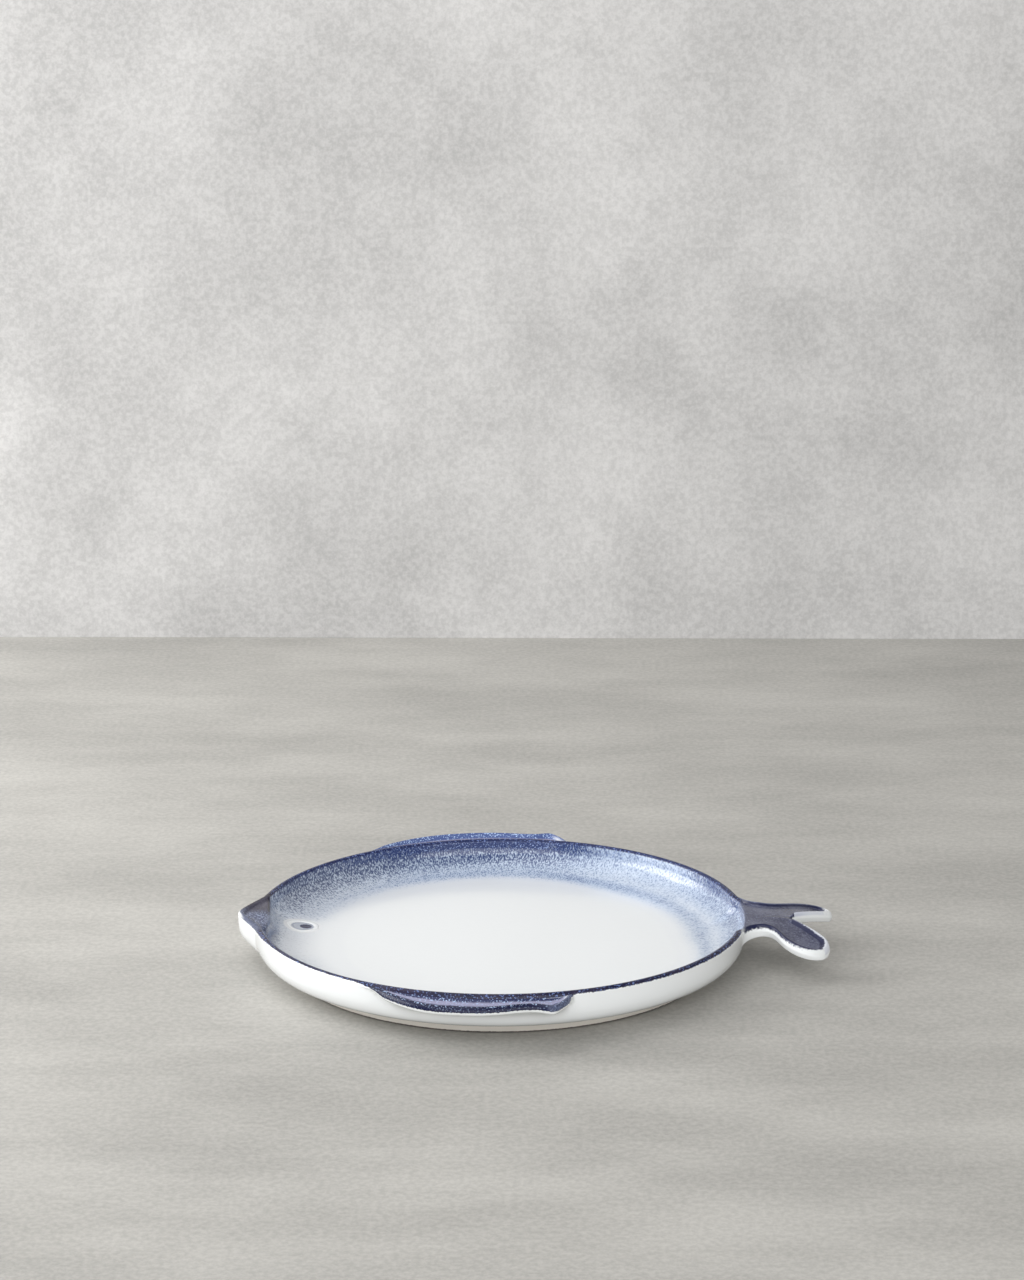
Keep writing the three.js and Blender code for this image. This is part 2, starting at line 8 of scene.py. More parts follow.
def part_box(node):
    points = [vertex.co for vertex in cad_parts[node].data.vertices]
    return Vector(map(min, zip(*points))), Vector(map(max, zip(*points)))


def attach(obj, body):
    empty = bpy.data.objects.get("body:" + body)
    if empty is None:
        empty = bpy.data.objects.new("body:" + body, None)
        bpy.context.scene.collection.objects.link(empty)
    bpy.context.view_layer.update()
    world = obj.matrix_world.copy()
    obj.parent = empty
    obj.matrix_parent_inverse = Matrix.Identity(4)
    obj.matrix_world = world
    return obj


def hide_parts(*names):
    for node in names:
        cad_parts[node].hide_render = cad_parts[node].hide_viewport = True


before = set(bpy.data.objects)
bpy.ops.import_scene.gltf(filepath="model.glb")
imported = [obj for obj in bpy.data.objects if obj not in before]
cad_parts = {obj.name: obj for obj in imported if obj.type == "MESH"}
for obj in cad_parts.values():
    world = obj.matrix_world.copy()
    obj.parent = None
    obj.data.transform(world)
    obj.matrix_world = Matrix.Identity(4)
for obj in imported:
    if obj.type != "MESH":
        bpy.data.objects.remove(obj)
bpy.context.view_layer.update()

# Fired body of the plate: a round dish with a flat well, drawn out at the rim into a snout, two fins and a tail.
# White stoneware, cast in one mould with its outgrowths luted on and smoothed, so no seam shows.
# Sizes are in millimetres from the dish's own axis: mouth to -X, tail to +X, back of the fish to +Y.
foot_low, foot_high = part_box("foot_ring")
dish_x = (foot_low.x + foot_high.x) / 2
rim_radius, rim_height, lip = 98.5, 19.98, 1.5
rim_inside, lip_height = rim_radius - 2 * lip, rim_height - lip
well_radius, well_height = 75.0, 8.2
under_radius, base_height = 82.8, 4.7
recess_radius, recess_height = 80.5, 4.9
outer_fullness, bowl_fullness = 0.56, 0.8
deck_height = 18.7
apron_low = 11.0


def smooth(low, high, value):
    """0 below low, 1 above high, and an S-curve between them."""
    t = min(1.0, max(0.0, (value - low) / (high - low)))
    return t * t * (3 - 2 * t)


def mix(a, b, t):
    return a + (b - a) * t


def wall_radius(z):
    """Radius of the full outer wall at a height."""
    drop = min(1.0, max(0.0, (lip_height - z) / (lip_height - base_height)))
    return under_radius + (rim_radius - under_radius) * (1 - drop ** (2 / outer_fullness)) ** (outer_fullness / 2)


def bowl(t):
    """Point of the inner wall, from the edge of the well (0) to the lip (1)."""
    turn = t * math.pi / 2
    across = math.sin(turn) ** bowl_fullness
    up = 1 - max(0.0, math.cos(turn)) ** bowl_fullness
    return mix(well_radius, rim_inside, across), mix(well_height, lip_height, up)


def bowl_height(radius):
    """Height of the glazed inner surface at a radius."""
    out = min(1.0, max(0.0, (radius - well_radius) / (rim_inside - well_radius)))
    sine = math.sqrt(max(0.0, 1 - out ** (2 / bowl_fullness)))
    return lip_height - (lip_height - well_height) * sine ** bowl_fullness


# The snout's plan: straight sides from the rim to a blunt point, and a bow that curls in under the jaw
snout_half, snout_blunt, snout_reach, snout_ease = 11.6, 1.6, 8.1, 1.1
snout_depth, snout_belly, snout_curl, snout_chord, snout_slant = 18.5, 3.5, 0.46, 92.2, 0.08


def snout_line(angle):
    """How far the snout stands out from the rim at an angle from the mouth, in degrees."""
    if abs(angle) >= snout_half + 4:
        return 0.0
    corner = math.radians(snout_half)
    across = rim_radius * math.sin(corner)
    tip = rim_radius + snout_reach
    along = tip - rim_radius * math.cos(corner)
    blunt = math.hypot(math.radians(angle), math.radians(snout_blunt))
    reach = across * tip / (across * math.cos(blunt) + along * math.sin(blunt)) - rim_radius
    eased = math.hypot(reach, snout_ease)
    return 0.5 * (reach + eased) - 0.5 * (eased - abs(reach)) * smooth(8, 15, abs(angle))


def snout_bow(angle, z):
    down = min(1.0, max(0.0, (rim_height - z) / snout_depth))
    jaw = math.sqrt(smooth(base_height + 0.2, base_height + 4.5, z))
    return snout_line(angle) * (1 - down ** snout_belly) ** snout_curl * jaw


# The fins' plan: a long taper from the mouth's side, a shallow dip and a round lobe at the rear, by the angle from the
# tail. The back's fin starts sooner than the belly's and is fuller, with less of a dip.
back_start, belly_start, fin_full, fin_lobe, fin_end = 129.0, 122.8, 101.0, 78.2, 72.2
fin_width, fin_dip, fin_dip_at, fin_dip_spread = 12.3, 3.2, 83.0, 6.0
lobe_swell, lobe_at, lobe_spread = 1.7, 78.3, 1.8
back_shift, back_dip = 2.2, 0.6
fin_flute, fin_bead, fin_root = 1.5, 1.85, 7.4
fin_top, fin_crest, lead_crest = 18.2, 19.05, 19.6


def fin_reach(angle):
    """How far a fin stands out from the rim at an angle from the tail, which is below 0 on the belly's side."""
    back = angle > 0
    start = back_start if back else belly_start
    along = min(1.0, max(0.0, (start - abs(angle)) / (start - fin_full)))
    taper = math.sin(math.pi / 2 * along) * smooth(0, 0.35, along) if back else smooth(0, 1, along)
    side = abs(angle) - (back_shift if back else 0)
    lobe = max(0.0, 1 - max(0.0, (fin_lobe - side) / (fin_lobe - fin_end)) ** 1.5)
    dip = fin_dip * (back_dip if back else 1) * math.exp(-(((side - fin_dip_at) / fin_dip_spread) ** 2))
    swell = lobe_swell * math.exp(-(((side - lobe_at) / lobe_spread) ** 2))
    return max(0.0, (fin_width * taper - dip + swell) * lobe)


def on_rim(radius, angle):
    return Vector((radius * math.cos(math.radians(angle)), radius * math.sin(math.radians(angle))))


fin_outline = {
    way: [on_rim(rim_radius + fin_reach(way * (fin_end + i * 0.25)), way * (fin_end + i * 0.25)) for i in range(230)]
    for way in (1, -1)}


def fin_edge(place):
    """Distance in plan from a place to the outline of the fin on its side."""
    return min((place - here).length for here in fin_outline[1 if place.y > 0 else -1])


# The tail's plan: a waist, and two lobes with round ends
tail_half_angle = math.degrees(math.asin(22.0 / rim_radius))
back_reach, belly_reach = 36.0, 32.4
tail_waist, tail_waist_out, tail_span, tail_stem = 29.4, 6.0, 58.5, 16.8
belly_span, back_lobe, belly_lobe, belly_lift = 61.5, 6.5, 9.4, 1.8
lobe_angle, lobe_wrap, root_out, root_drawn = 42.0, 80.0, 3.0, 0.10
root_thick, tail_thick, lobe_thick, tail_droop, lobe_droop = 7.0, 5.6, 4.7, 2.8, 5.5
tail_round, tail_border, panel_depth = 1.7, 3.2, 1.3

# Columns round the dish stand closer where the outline turns: at the tail's root, the fins' ends and the snout
columns = 320
finer = [(0, 13, 1.0), (tail_half_angle, 2.0, 3.5), (75.5, 5, 2.4), (back_start - 8, 10, 0.5), (180, 5, 1.6),
         (180 - snout_half, 3, 1.6)]


def column_angles():
    steps = 3600
    weights = []
    for i in range(steps):
        angle = 180 * (i + 0.5) / steps
        weights.append(1 + sum(w * math.exp(-(((angle - at) / spread) ** 2)) for at, spread, w in finer))
    total = sum(weights)
    angles, run, nxt = [], 0.0, 0
    for i, weight in enumerate(weights):
        while nxt <= columns // 2 and run >= total * nxt / (columns // 2) - 1e-9:
            angles.append(180 * i / steps)
            nxt += 1
        run += weight
    return (angles + [180.0])[: columns // 2 + 1]


half_turn = column_angles()
root_column = min(range(len(half_turn)), key=lambda i: abs(half_turn[i] - tail_half_angle))
half_turn[root_column] = tail_half_angle

# Rows of the section, from the middle of the well over the lip to the middle of the base
well_rows, bowl_rows, deck_rows, lip_rows, skirt_rows, wall_rows, base_rows = 7, 11, 3, 9, 15, 9, 5
top_rows, bead_rows = 7, 5
crest_row = well_rows + bowl_rows + deck_rows + lip_rows // 2


def bezier(points, t):
    while len(points) > 1:
        points = [a.lerp(b, t) for a, b in zip(points, points[1:])]
    return points[0]


def snout_edge(radius, mouth):
    """Distance in plan from a place on the snout to its straight side."""
    corner, tip = on_rim(rim_radius, snout_half), Vector((rim_radius + snout_reach, 0))
    place, along = on_rim(radius, mouth), corner - tip
    share = min(1.0, max(0.0, (place - tip).dot(along) / along.length_squared))
    return (place - tip - along * share).length


def fin_seat(share):
    """Height at which a fin's top leaves the lip: high at its lead, lower where the fin is full."""
    return mix(lip_height, mix(lead_crest - 0.5, fin_top, smooth(0.15, 0.8, share)), smooth(0.0, 0.15, share))


def run_along(line):
    """Length run along a line of points, up to each of them."""
    run = [0.0]
    for a, b in zip(line, line[1:]):
        run.append(run[-1] + math.hypot(b[0] - a[0], b[1] - a[1]))
    return run


# A skirt is first drawn finely: over the fin's hollow, round its bead, back under it, and down the wall.
# Every row carries its gap to the outline, or the mark of a place that has none, far inside it or below it.
hollow_steps, bead_steps, sweep_steps, wall_steps = 28, 16, 16, 20
bead_start = hollow_steps + 1
bead_end = bead_start + bead_steps
bead_middle = bead_start + bead_steps // 2
far_in, below_edge = 9.0, -1.0


def skirt(angle):
    """Rows of the outside below the lip, fin included, as (radius, height, gap, across), and the dark coat's depth."""
    mouth = 180 - abs(angle)
    fin = fin_reach(angle)
    share = fin / fin_width
    bead = min(fin_bead, fin * 0.45)
    edge_radius = rim_radius + fin - bead
    seat_z = fin_seat(share)
    crest = mix(seat_z, mix(lead_crest, fin_crest, min(1.0, share)), smooth(0.0, 0.2, share))
    low = seat_z - fin_root * smooth(0, 0.5, share)
    line = []
    for k in range(hollow_steps + 1):
        out = k / hollow_steps
        radius = mix(rim_radius, edge_radius, out)
        gap = fin_edge(on_rim(radius, angle)) if fin > 0 else 0.0
        level = mix(seat_z, crest, out)
        hollow = level - fin_flute * share * math.sin(math.pi * min(1.0, out * 1.08))
        line.append((radius, mix(level, hollow, smooth(1.0, 3.4, gap)), gap, out))
    marks = [hollow_steps * (i + 0.6) / top_rows for i in range(top_rows)]
    for k in range(bead_steps + 1):
        turn = math.radians(mix(86, -82, k / bead_steps))
        line.append((edge_radius + bead * math.cos(turn), crest - bead + bead * math.sin(turn), 0.0, 1.0))
    marks += [bead_start + bead_steps * i / (bead_rows - 1) for i in range(bead_rows)]
    last = Vector(line[-1][:2])
    seat = Vector((wall_radius(low) + snout_bow(mouth, low), low))
    sweep = [last, last + Vector((-0.5 * fin, -0.1 * share)), seat + Vector((0.4 * share, 1.6 * share)), seat]
    line += [(*bezier(sweep, (k + 1) / sweep_steps), below_edge, 1.0) for k in range(sweep_steps)]
    marks += [bead_end + sweep_steps * t for t in (0.3, 0.66)]
    for k in range(wall_steps):
        z = mix(low, min(low - 0.1, apron_low), (k + 1) / wall_steps)
        line.append((wall_radius(z) + snout_bow(mouth, z), z, below_edge, 1.0))
    marks.append(len(line) - 1)
    run = run_along(line)
    rows = []
    for i, mark in enumerate(marks):
        k = min(int(mark), len(line) - 2)
        at = mix(run[k], run[k + 1], mark - k)
        even = run[-1] * (i + 0.7) / (skirt_rows - 0.3)
        at = mix(even, at, smooth(0.0, 0.4, share))
        k = max(j for j in range(len(run) - 1) if run[j] <= at)
        part = (at - run[k]) / max(1e-9, run[k + 1] - run[k])
        rows.append(tuple(mix(a, b, part) for a, b in zip(line[k], line[k + 1])))
    return rows, mix(run[bead_middle], run[bead_middle + 1], 0.8)


def section(angle):
    """Section at an angle in degrees: (radius, height, mm over the lip, mm above the dark coat's edge, gap, across)."""
    side = abs(angle)
    mouth = 180 - side
    tailed = smooth(tail_half_angle + 0.4, tail_half_angle - 3.0, side)
    decked = max(smooth(snout_half + 1.5, snout_half - 2.5, mouth), tailed)
    rows = [(well_radius * (1 - (1 - i / well_rows) ** 1.5), well_height, far_in, 0) for i in range(well_rows)]
    end = mix(0.84, 1.0, decked)
    slant = snout_slant * rim_radius * math.sin(math.radians(angle))
    chord = ((snout_chord + slant) / math.cos(math.radians(min(mouth, 30))) - well_radius) / (rim_inside - well_radius)
    fade_from, fade_to = (5, -2) if angle > 0 else (4, -9)
    die_out = smooth(snout_half + fade_from, snout_half + fade_to, mouth)
    drawn = mix(1.0, chord, die_out) + root_drawn * tailed
    for i in range(bowl_rows):
        radius, z = bowl(end * i / (bowl_rows - 1))
        rows.append((mix(well_radius, radius, drawn), z, far_in, 0))
    outline = rim_radius + snout_line(mouth) + root_out * tailed
    inner = outline - 2 * lip
    for i in range(deck_rows):
        t = (i + 1) / (deck_rows + 1)
        along = bowl(mix(end, 1.0, t))
        flat = mix(mix(well_radius, rim_inside, drawn) + 0.35, inner, t)
        gap = far_in if side < 90 else outline - flat
        rows.append((mix(along[0], flat, decked), mix(along[1], deck_height, decked), gap, 0))
    for i in range(lip_rows):
        turn = math.pi * (1 - i / (lip_rows - 1))
        radius = outline - lip + lip * math.cos(turn)
        gap = outline - radius
        if mouth < 90:
            gap = min(gap, snout_edge(radius, mouth))
        arc = lip_height + math.sqrt(max(0.0, lip ** 2 - (gap - lip) ** 2))
        if side < 90:
            arc = mix(arc, deck_height, decked)
        else:
            arc = max(arc, mix(0, deck_height, decked))
        inside = rim_radius * (math.sin(math.radians(tail_half_angle)) - math.sin(math.radians(side)))
        rows.append((radius, arc, mix(gap, max(gap, inside), decked) if side < 90 else gap, 0))
    share = fin_reach(angle) / fin_width
    for i in range(crest_row + 1, len(rows)):
        rows[i] = (rows[i][0], max(rows[i][1], fin_seat(share)), *rows[i][2:])
    below, dark = skirt(angle)
    rows += below
    start_turn = math.acos(((lip_height - apron_low) / (lip_height - base_height)) ** (1 / outer_fullness))
    for i in range(wall_rows):
        turn = start_turn * (1 - (i + 1) / wall_rows) ** 1.35 + 0.035
        z = base_height + (lip_height - base_height) * (1 - math.cos(turn) ** outer_fullness)
        radius = under_radius + (rim_radius - under_radius) * math.sin(turn) ** outer_fullness
        rows.append((radius + snout_bow(mouth, z), z, below_edge, 1))
    for i in range(base_rows):
        rows.append((recess_radius * (1 - ((i + 1) / base_rows) ** 1.4), recess_height, below_edge, 1))
    run = run_along(rows)
    crest_at = run[crest_row]
    shoulder = run[crest_row + lip_rows // 2] - crest_at
    before_fin = smooth(100, 130, side) * smooth(snout_half + 1, snout_half + 16, mouth)
    thin = mix(-0.35, -1.15 if angle < 0 else -0.4, before_fin)
    thin += 0.3 * smooth(snout_half + 5, snout_half - 1, mouth)
    depth = shoulder + dark + thin * (1 - smooth(0.0, 0.2, share))
    return [(radius, z, at - crest_at, depth - at + crest_at, gap, across)
            for (radius, z, gap, across), at in zip(rows, run)]


def turn_round(shape, steps):
    """Turns a section about the dish's axis, as on a wheel."""
    bmesh.ops.spin(shape, geom=shape.verts[:] + shape.edges[:], cent=(0, 0, 0), axis=(0, 0, 1), angle=2 * math.pi,
                   steps=steps, use_merge=True)


body = bmesh.new()
row_layer = body.verts.layers.int.new("row")
column_layer = body.verts.layers.int.new("column")
lap_layer = body.verts.layers.float.new("lap")
coat_layer = body.verts.layers.float.new("coat")
gap_layer = body.verts.layers.float.new("gap")
across_layer = body.verts.layers.float.new("across")
plain = section(140)
chain = []
for row, (radius, z, *_) in enumerate(plain):
    corner = body.verts.new((max(radius, 1e-3 * (row + 1)), 0, z))
    corner[row_layer] = row
    chain.append(corner)
for pair in zip(chain, chain[1:]):
    body.edges.new(pair)
turn_round(body, columns)

sections = {}
for corner in body.verts:
    turn = math.atan2(corner.co.y, corner.co.x)
    column = round(turn / (2 * math.pi) * columns)
    column = column + columns if column <= -columns // 2 else column
    corner[column_layer] = column
    if column not in sections:
        sections[column] = section(math.copysign(half_turn[abs(column)], column))
    radius, z, *marks = sections[column][corner[row_layer]]
    corner[lap_layer], corner[coat_layer], corner[gap_layer], corner[across_layer] = marks
    angle = math.radians(math.copysign(half_turn[abs(column)], column))
    corner.co = (radius * math.cos(angle), radius * math.sin(angle), z)
bmesh.ops.remove_doubles(body, verts=[v for v in body.verts if v[row_layer] in (0, len(plain) - 1)], dist=0.01)

# The tail is drawn out of the rim and the wall under it, station by station, and parts at the fork
under_row = well_rows + bowl_rows + deck_rows + lip_rows + 10
flank_rows = under_row - crest_row


def tail_stations(reach, span, lobe_radius):
    """Pairs of points across half of the tail, from the rim to a lobe's round end, and how far the fork is open."""
    tip = rim_radius + reach
    corner = on_rim(rim_radius, tail_half_angle)
    waist = Vector((rim_radius + tail_waist_out, tail_waist / 2))
    middle = Vector((tip - lobe_radius, span / 2 - lobe_radius))
    start, end = lobe_angle + lobe_wrap, lobe_angle - lobe_wrap

    def ray(turn):
        return Vector((math.cos(math.radians(turn)), math.sin(math.radians(turn))))

    first, last = middle + ray(start) * lobe_radius, middle + ray(end) * lobe_radius
    crotch = Vector((rim_radius + tail_stem, 0))
    tangent = Vector((corner.y, -corner.x)).normalized()
    neck = [corner, corner + tangent * 4.5, waist + Vector((-4, 0.2)), waist]
    flank = [waist, waist + Vector((7, 0)), first + ray(start + 90) * 9, first]
    fork = [crotch, crotch + Vector((2.5, 5)), last + ray(end - 90) * 9, last]
    neck_steps, flank_steps, fork_steps, lobe_steps = 5, 11, 8, 7
    outer = [bezier(neck, (i + 1) / neck_steps) for i in range(neck_steps)]
    outer += [bezier(flank, (i + 1) / flank_steps) for i in range(flank_steps)]
    stem = len(outer) - fork_steps
    inner = [Vector((mix(rim_radius + 2.0, crotch.x, (i + 1) / stem), 0)) for i in range(stem)]
    inner += [bezier(fork, (i + 1) / fork_steps) for i in range(fork_steps)]
    stations = [(a, b, smooth(0, 2, i - stem + 1), i < stem, None) for i, (a, b) in enumerate(zip(outer, inner))]
    for i in range(lobe_steps):
        half = lobe_wrap * (1 - ((i + 1) / (lobe_steps + 0.25)) ** 1.15)
        a, b = middle + ray(lobe_angle + half) * lobe_radius, middle + ray(lobe_angle - half) * lobe_radius
        stations.append((a, b, 1.0, False, (middle, lobe_radius)))
    return stations


def tail_place(station, column, row, side):
    """Where a corner of the tail's section lies, by its column from the middle line and its row from top to bottom."""
    outer, inner, opened, stem, middle = station
    width = (outer - inner).length
    border = min(tail_border, width * 0.42)
    near = [0.9, 1.7, 2.5, 3.3, 4.3]
    spacing = 0.06
    scale = border / tail_border
    c, last = abs(column), root_column
    if last - c < len(near):
        gap = near[last - c] * scale
    elif c < len(near):
        plain = width * (1 - spacing * c)
        gap = mix(plain, width - near[c] * scale, opened)
    else:
        low = near[-1] * scale
        high = mix(width * (1 - spacing * (len(near) - 1)), width - near[-1] * scale, opened)
        gap = mix(low, high, (last - c - len(near) + 1) / (last - 2 * len(near) + 2))
    level = (row - crest_row) / flank_rows
    if c == last:
        gap *= 1 - math.sin(math.pi * level)
    if c == 0 and opened > 0:
        gap += (width - gap) * math.sin(math.pi * level) * opened
    place = outer.lerp(inner, gap / width)
    edge = gap
    if opened > 0:
        edge = mix(gap, min(gap, width - gap), opened)
    if middle:
        edge = max(0.0, middle[1] - (place - middle[0]).length)
    start = rim_radius + tail_waist_out
    along = max(0.0, (place.x - start) / (rim_radius + back_reach - start))
    lift = belly_lift if side < 0 else 0.0
    droop = along * (tail_droop - lift + (lobe_droop + lift) * abs(place.y) / (tail_span / 2))
    thick = mix(tail_thick, lobe_thick, min(1.0, along * 1.4))
    thick = mix(root_thick, thick, math.sqrt(smooth(rim_radius - 2, rim_radius + tail_waist_out + 1, place.x)))
    turn = max(0.0, 1 - edge / (tail_round * scale))
    rounding = thick / 2 * (1 - math.sqrt(max(0.0, 1 - turn ** 2)))
    sunk = panel_depth * smooth(tail_round * 1.05, tail_border, edge / scale) * min(1.0, scale * 1.2)
    top, bottom = rounding + sunk, thick - rounding
    if c == last or (c == 0 and opened > 0):
        depth = mix(top, bottom, (1 - math.cos(math.pi * level)) / 2)
    else:
        depth = mix(top, bottom, level)
    spot = Vector((place.x, side * place.y, rim_height - depth - droop))
    return spot, (0.5 - level) * thick, edge, min(1.0, gap / width)


def draw_out(faces, stations, step):
    """Extrudes the tail's end cap to its next station and returns the new cap."""
    made = bmesh.ops.extrude_face_region(body, geom=faces)["geom"]
    bmesh.ops.delete(body, geom=[face for face in faces if face.is_valid], context="FACES")
    cap = [g for g in made if isinstance(g, bmesh.types.BMFace)]
    for corner in {v for face in cap for v in face.verts}:
        column = corner[column_layer]
        side = 1 if column > 0 else -1
        if column == 0:
            side = stations[2]
        station = stations[0 if side > 0 else 1][step]
        corner.co, coat, gap, across = tail_place(station, column, corner[row_layer], side)
        corner[coat_layer], corner[gap_layer], corner[across_layer] = coat, gap, across
    return cap


def is_root(face):
    return all(abs(v[column_layer]) <= root_column and crest_row <= v[row_layer] <= under_row for v in face.verts)


back = tail_stations(back_reach, tail_span, back_lobe)
belly = tail_stations(belly_reach, belly_span, belly_lobe)
cap = [face for face in body.faces if is_root(face)]
step = 0
while back[step][3]:
    cap = draw_out(cap, (back, belly, 1), step)
    step += 1
lobes = [(side, [face for face in cap if sum(v[column_layer] for v in face.verts) * side > 0]) for side in (1, -1)]
for side, lobe in lobes:
    for later in range(step, len(back)):
        lobe = draw_out(lobe, (back, belly, side), later)


def fired_piece(name, shape):
    """Makes an object in the plate's frame, in metres, of a shape in millimetres about the dish's axis."""
    bmesh.ops.recalc_face_normals(shape, faces=shape.faces)
    bmesh.ops.scale(shape, vec=(0.001, 0.001, 0.001), verts=shape.verts)
    bmesh.ops.translate(shape, vec=(dish_x, 0, 0), verts=shape.verts)
    for face in shape.faces:
        face.smooth = True
    made = bpy.data.meshes.new(name)
    shape.to_mesh(made)
    shape.free()
    piece = bpy.data.objects.new(name, made)
    bpy.context.scene.collection.objects.link(piece)
    return piece


plate = fired_piece("fish_plate_body", body)
finer_skin = plate.modifiers.new("skin", "SUBSURF")
finer_skin.levels = finer_skin.render_levels = 1
finer_skin.use_limit_surface = False


class Wire:
    """A socket of a material's nodes, for sums written as Python expressions."""

    def __init__(self, tree, socket):
        self.tree, self.socket = tree, socket

    def node(self, kind, settings, values, out=0):
        """Adds a node: its settings first, then the values or links of its sockets."""
        made = self.tree.nodes.new(kind)
        for name, value in settings.items():
            setattr(made, name, value)
        for name, value in values.items():
            socket = made.inputs[name]
            if isinstance(value, Wire):
                self.tree.links.new(value.socket, socket)
            else:
                socket.default_value = value
        return Wire(self.tree, made.outputs[out])

    def sum(self, operation, *values):
        return self.node("ShaderNodeMath", {"operation": operation}, dict(enumerate(values)))

    def __add__(self, other):
        return self.sum("ADD", self, other)

    def __sub__(self, other):
        return self.sum("SUBTRACT", self, other)

    def __rsub__(self, other):
        return self.sum("SUBTRACT", other, self)

    def __mul__(self, other):
        return self.sum("MULTIPLY", self, other)

    def __truediv__(self, other):
        return self.sum("DIVIDE", self, other)

    def __abs__(self):
        return self.sum("ABSOLUTE", self)

    def __neg__(self):
        return self.sum("MULTIPLY", self, -1.0)

    __radd__, __rmul__ = __add__, __mul__

    def most(self, other):
        return self.sum("MAXIMUM", self, other)

    def least(self, other):
        return self.sum("MINIMUM", self, other)

    def ease(self, low, high):
        """0 at low, 1 at high, and an S-curve between them."""
        return self.node("ShaderNodeMapRange", {"interpolation_type": "SMOOTHSTEP"},
                         {"Value": self, "From Min": low, "From Max": high})

    def hump(self, at, spread):
        """1 at a value, falling to 0 a spread away on either side."""
        return abs(self - at).ease(spread, 0.0)

    def over(self, below, share):
        """This colour laid over another by a share."""
        return self.node("ShaderNodeMix", {"data_type": "RGBA"}, {"Factor": share, 6: below, 7: self}, 2)

    def colour(self, red, green, blue, factor=1.0):
        """One colour all over, given in 8-bit sRGB, and made lighter or darker by a factor."""
        made = self.node("ShaderNodeRGB", {}, {})
        made.socket.default_value = (*[c * factor for c in shade(red, green, blue)], 1)
        return made

    def grain(self, scale, detail=2.0, rough=0.55):
        """Noise about 0, at a number of grains to the unit of this vector."""
        noise = self.node("ShaderNodeTexNoise", {},
                          {"Vector": self, "Scale": scale, "Detail": detail, "Roughness": rough})
        return (noise - 0.5) * 4.0

    def into(self, shader, name):
        """Links this to one of a shader's sockets."""
        self.tree.links.new(self.socket, shader.inputs[name])


def shade(red, green, blue):
    """A colour given in 8-bit sRGB, as the linear colour that a shader takes."""
    return tuple((c / 255 / 12.92) if c < 11 else ((c / 255 + 0.055) / 1.055) ** 2.4 for c in (red, green, blue))


def new_glaze(name):
    made = bpy.data.materials.new(name)
    made.use_nodes = True
    tree = made.node_tree
    return made, tree.nodes["Principled BSDF"], Wire(tree, tree.nodes.new("ShaderNodeTexCoord").outputs["Object"])


# Its coat: white glaze, with a blue reactive glaze laid round the wall and run down towards the well, thick and dark
# where it gathers on the lip, the fins, the tail and the snout, and broken into fine light specks as it fired.
glaze, shader, place = new_glaze("reactive_glaze")
spot = place.node("ShaderNodeVectorMath", {"operation": "MULTIPLY_ADD"},
                  {0: place, 1: (1000, 1000, 1000), 2: (-1000 * dish_x, 0, 0)})
x, y, z = [spot.node("ShaderNodeSeparateXYZ", {}, {"Vector": spot}, i) for i in range(3)]
square = x * x + y * y
radius = square.sum("SQRT", square)
turn = y.sum("ARCTAN2", y, x)
towards_tail, towards_back = x / radius.most(1.0), y / radius.most(1.0)
lap, coat, gap, across = [place.node("ShaderNodeAttribute", {"attribute_name": n}, {}, 2)
                          for n in ("lap", "coat", "gap", "across")]
run_down = place.node("ShaderNodeCombineXYZ", {}, {"X": radius * 0.6, "Y": turn * 92, "Z": z * 0.6})
fine, specks = run_down.grain(1.7, 1.0), spot.grain(1.35, 1.0)
streaks, clouds = run_down.grain(0.5, 3.0), spot.grain(0.09, 3.0)

# How much blue lies on the wall: none in the well, then a speckled band, a lighter one, and navy under the lip
mouthward, tailward = -towards_tail, towards_tail.most(0.0)
near = towards_back.ease(0.1, -0.5)
fade_radius = 71.2 - tailward * (3.0 - near * 8.0) - mouthward.most(0.0) * mouthward * mouthward * 8 + clouds * 0.8
up_wall = (radius - fade_radius) / (rim_inside - fade_radius)
head = mouthward.ease(0.3, 0.85)
aft = towards_tail.ease(0.1, 0.55)
root = towards_tail.ease(0.72, 0.93)
gather, brow = up_wall.ease(0.62, 1.0), z.ease(14.0, 17.6)
band = up_wall.hump(0.48, 0.2)
rise = up_wall.ease(0.0, 0.7 - aft * (0.3 - near * 0.3)) * (1 - head) + up_wall.ease(-0.05, 0.9) * head
beak = mouthward.ease(0.93, 0.985)
# On the tail's side less glaze is gathered under the lip and the brow's thick glaze is cut back, so the upper wall
# there is paler: a painted sheen.
thick = 0.4 - aft * 0.07 - aft * near * 0.05 - head * 0.02 - root * 0.05 - near * head * 0.17 - beak * 0.24
thick = thick + band * (0.08 - head * 0.08 + aft * 0.05) + gather * (0.24 - aft * 0.15 - head * 0.03 + root * 0.15)
thick = thick * rise + clouds * 0.035 * rise + brow * (0.35 - head * 0.25 - aft * 0.33 + root * 0.2)
broken = ((thick - 0.5) * 1.5 + fine * (0.85 - aft * 0.3) + streaks * 0.16).ease(-0.5, 0.5)

white_tone = (236, 239, 240)
white = spot.colour(*white_tone)
pale_blue = spot.colour(182, 197, 218).over(spot.colour(234, 237, 239), thick.ease(0.0, 0.5))
deep_blue = spot.colour(40, 60, 110).over(spot.colour(148, 166, 196), thick.ease(0.12, 0.72))
blue = deep_blue.over(pale_blue, broken * thick.ease(0.02, 0.3))
slate = spot.colour(90, 99, 124).over(spot.colour(196, 204, 217), broken)
blue = slate.over(blue, head * 0.6 * up_wall.ease(0.2, 0.8))
high_specks = (spot.grain(1.5, 1.0) + fine * 0.3).ease(0.25, 0.7) * brow * (1 - head)
# The navy under the lip is left off on the tail's side, as part of the painted sheen there.
blue = spot.colour(32, 46, 96).over(blue, brow * (1 - head) * (1 - aft) * 0.6)
blue = spot.colour(156, 176, 220).over(blue, high_specks * (0.75 - aft * 0.35))
eye_x, eye_y = -80.5, 14.5
eye_along, eye_over = x - eye_x, y - eye_y
